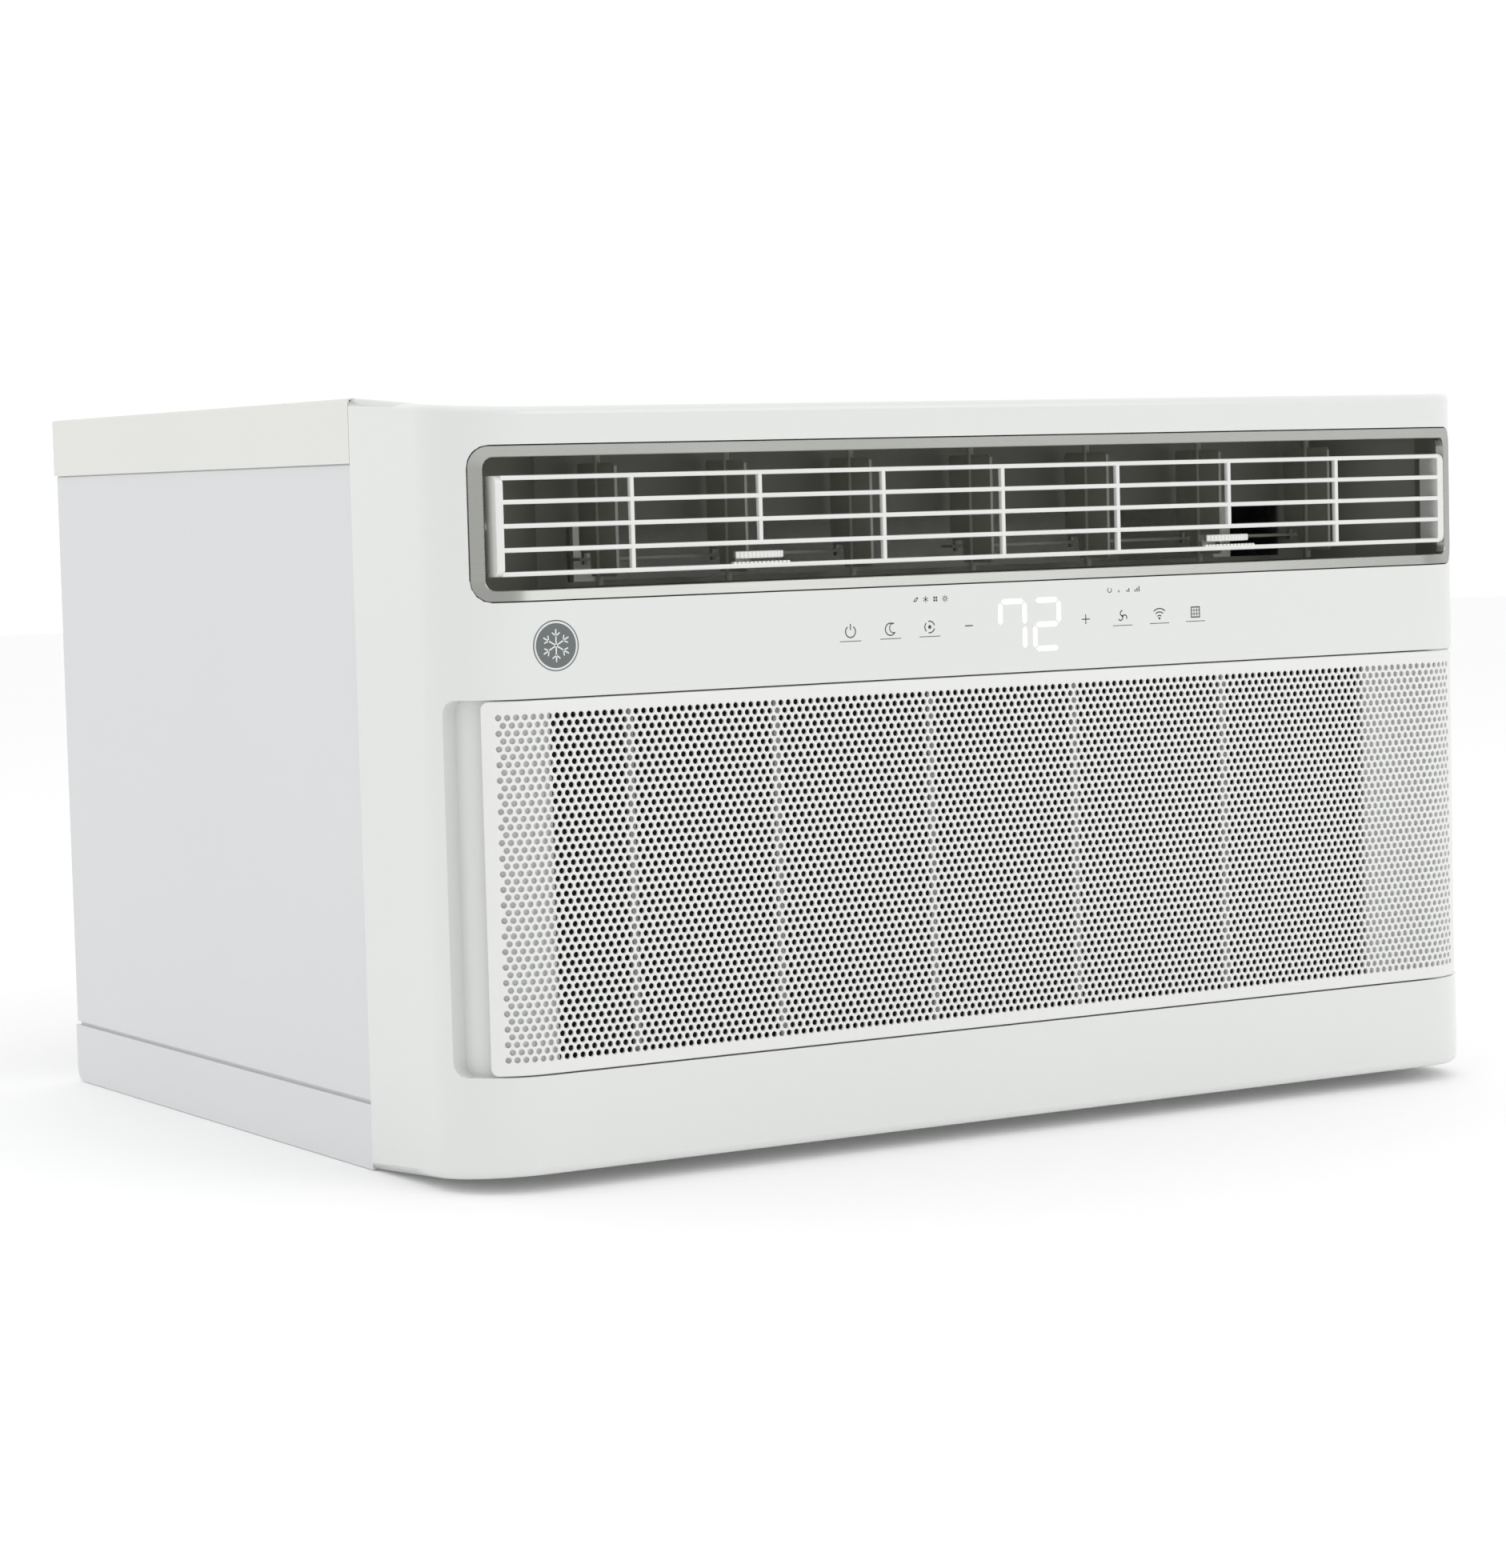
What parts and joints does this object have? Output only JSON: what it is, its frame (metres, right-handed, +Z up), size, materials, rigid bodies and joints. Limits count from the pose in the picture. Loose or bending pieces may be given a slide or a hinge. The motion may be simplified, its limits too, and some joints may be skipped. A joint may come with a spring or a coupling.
{
  "type": "through-the-wall room air conditioner",
  "caption": "Box-shaped room air conditioner with a white steel wall case, a deep rounded front, a perforated intake panel that tilts open and a tilting louvre in a bright ring.",
  "frame": {"origin": "on the floor plane under the middle of the whole unit, front moulding included", "axes": "-Y faces the room, +Y faces outdoors, +X is to the right seen from the room, +Z is up"},
  "size_m": [0.655, 0.539, 0.401],
  "materials": {
    "white_plastic": "glossy white moulded plastic",
    "case_paint": "satin white powder coat on sheet steel",
    "lid_paint": "satin warm white powder coat on sheet steel",
    "brushed_metal": "ring with a brushed stainless look",
    "dark_plastic": "dark grey moulded plastic",
    "filter_net": "black woven nylon net",
    "aluminium_fins": "thin aluminium fins",
    "copper_tube": "drawn copper tube",
    "galvanised_steel": "zinc coated sheet steel",
    "black_paint": "black paint",
    "white_foam": "white expanded foam",
    "black_rubber": "black rubber",
    "green_board": "green circuit board",
    "heater_steel": "heat tinted steel sheath"
  },
  "bodies": {
    "cabinet": {"accumulator": "black_paint", "accumulator_tube": "copper_tube", "base_pan": "case_paint", "blower_housing": "white_foam", "bulkhead": "galvanised_steel", "capillary_tube": "copper_tube", "case_left_side": "case_paint", "case_right_side": "case_paint", "case_top_cover": "lid_paint", "compressor": "black_paint", "compressor_grommet_1": "black_rubber", "compressor_grommet_2": "black_rubber", "compressor_grommet_3": "black_rubber", "compressor_stud_1": "galvanised_steel", "compressor_stud_2": "galvanised_steel", "compressor_stud_3": "galvanised_steel", "condenser_coil": "aluminium_fins", "control_box": "galvanised_steel", "control_box_cover": "galvanised_steel", "digit_display": "dark_plastic", "discharge_bezel": "brushed_metal", "discharge_duct": "dark_plastic", "discharge_tube": "copper_tube", "drain_pan": "white_plastic", "evaporator_coil": "aluminium_fins", "fan_motor": "galvanised_steel", "fan_shroud": "galvanised_steel", "front_frame": "white_plastic", "heater_element": "heater_steel", "motor_bracket": "galvanised_steel", "power_board": "green_board", "rear_grille": "galvanised_steel", "run_capacitor": "galvanised_steel", "suction_tube": "copper_tube", "touch_board": "green_board"},
    "grille_door": {"intake_grille": "white_plastic", "filter_frame": "white_plastic", "filter_net": "filter_net"},
    "louvre": {"louvre_frame": "white_plastic"},
    "left_lever": {"left_vane_lever": "white_plastic"},
    "right_lever": {"right_vane_lever": "white_plastic"},
    "left_link": {"left_link_bar": "dark_plastic"},
    "right_link": {"right_link_bar": "dark_plastic"},
    "rotor": {"motor_shaft": "galvanised_steel", "blower_wheel": "dark_plastic", "condenser_fan": "black_paint"},
    "vane_1_body": {"vane_1": "dark_plastic"},
    "vane_2_body": {"vane_2": "dark_plastic"},
    "vane_3_body": {"vane_3": "dark_plastic"},
    "vane_4_body": {"vane_4": "dark_plastic"},
    "vane_5_body": {"vane_5": "dark_plastic"},
    "vane_6_body": {"vane_6": "dark_plastic"},
    "vane_7_body": {"vane_7": "dark_plastic"}
  },
  "joints": [
    {"name": "grille_tilt", "type": "hinge", "parent": "cabinet", "child": "grille_door", "pos_m": [0, -0.2683, 0.0609], "axis": [1, 0, 0], "range_deg": [0, 40]},
    {"name": "louvre_tilt", "type": "hinge", "parent": "cabinet", "child": "louvre", "pos_m": [0, -0.252, 0.3338], "axis": [1, 0, 0], "range_deg": [-25, 25]},
    {"name": "left_lever_turn", "type": "hinge", "parent": "louvre", "child": "left_lever", "pos_m": [-0.1504, -0.2455, 0.3155], "axis": [0, 0, 1], "range_deg": [-30, 30]},
    {"name": "right_lever_turn", "type": "hinge", "parent": "louvre", "child": "right_lever", "pos_m": [0.1504, -0.2455, 0.3155], "axis": [0, 0, 1], "range_deg": [-30, 30]},
    {"name": "vane_1_turn", "type": "hinge", "parent": "cabinet", "child": "vane_1_body", "pos_m": [-0.214, -0.2075, 0.335], "axis": [0, 0, 1], "range_deg": [-30, 30]},
    {"name": "vane_2_turn", "type": "hinge", "parent": "cabinet", "child": "vane_2_body", "pos_m": [-0.1366, -0.2075, 0.335], "axis": [0, 0, 1], "range_deg": [-30, 30]},
    {"name": "vane_3_turn", "type": "hinge", "parent": "cabinet", "child": "vane_3_body", "pos_m": [-0.0592, -0.2075, 0.335], "axis": [0, 0, 1], "range_deg": [-30, 30]},
    {"name": "vane_4_turn", "type": "hinge", "parent": "cabinet", "child": "vane_4_body", "pos_m": [0.0182, -0.2075, 0.335], "axis": [0, 0, 1], "range_deg": [-30, 30]},
    {"name": "vane_5_turn", "type": "hinge", "parent": "cabinet", "child": "vane_5_body", "pos_m": [0.0956, -0.2075, 0.335], "axis": [0, 0, 1], "range_deg": [-30, 30]},
    {"name": "vane_6_turn", "type": "hinge", "parent": "cabinet", "child": "vane_6_body", "pos_m": [0.173, -0.2075, 0.335], "axis": [0, 0, 1], "range_deg": [-30, 30]},
    {"name": "vane_7_turn", "type": "hinge", "parent": "cabinet", "child": "vane_7_body", "pos_m": [0.2504, -0.2075, 0.335], "axis": [0, 0, 1], "range_deg": [-30, 30]},
    {"name": "left_link_slide", "type": "slide", "parent": "cabinet", "child": "left_link", "axis": [-1, 0, 0], "range_m": [-0.00864, 0.00864]},
    {"name": "right_link_slide", "type": "slide", "parent": "cabinet", "child": "right_link", "axis": [-1, 0, 0], "range_m": [-0.00864, 0.00864]},
    {"name": "fan_spin", "type": "hinge", "parent": "cabinet", "child": "rotor", "pos_m": [0, -0.0055, 0.165], "axis": [0, 1, 0], "continuous": true}
  ],
  "couplings": [
    {"joint": "vane_1_turn", "follows": "left_lever_turn", "ratio": 1},
    {"joint": "vane_2_turn", "follows": "left_lever_turn", "ratio": 1},
    {"joint": "vane_3_turn", "follows": "left_lever_turn", "ratio": 1},
    {"joint": "vane_4_turn", "follows": "right_lever_turn", "ratio": 1},
    {"joint": "vane_5_turn", "follows": "right_lever_turn", "ratio": 1},
    {"joint": "vane_6_turn", "follows": "right_lever_turn", "ratio": 1},
    {"joint": "vane_7_turn", "follows": "right_lever_turn", "ratio": 1},
    {"joint": "left_link_slide", "follows": "left_lever_turn", "m_per_rad": 0.0165},
    {"joint": "right_link_slide", "follows": "right_lever_turn", "m_per_rad": 0.0165}
  ]
}
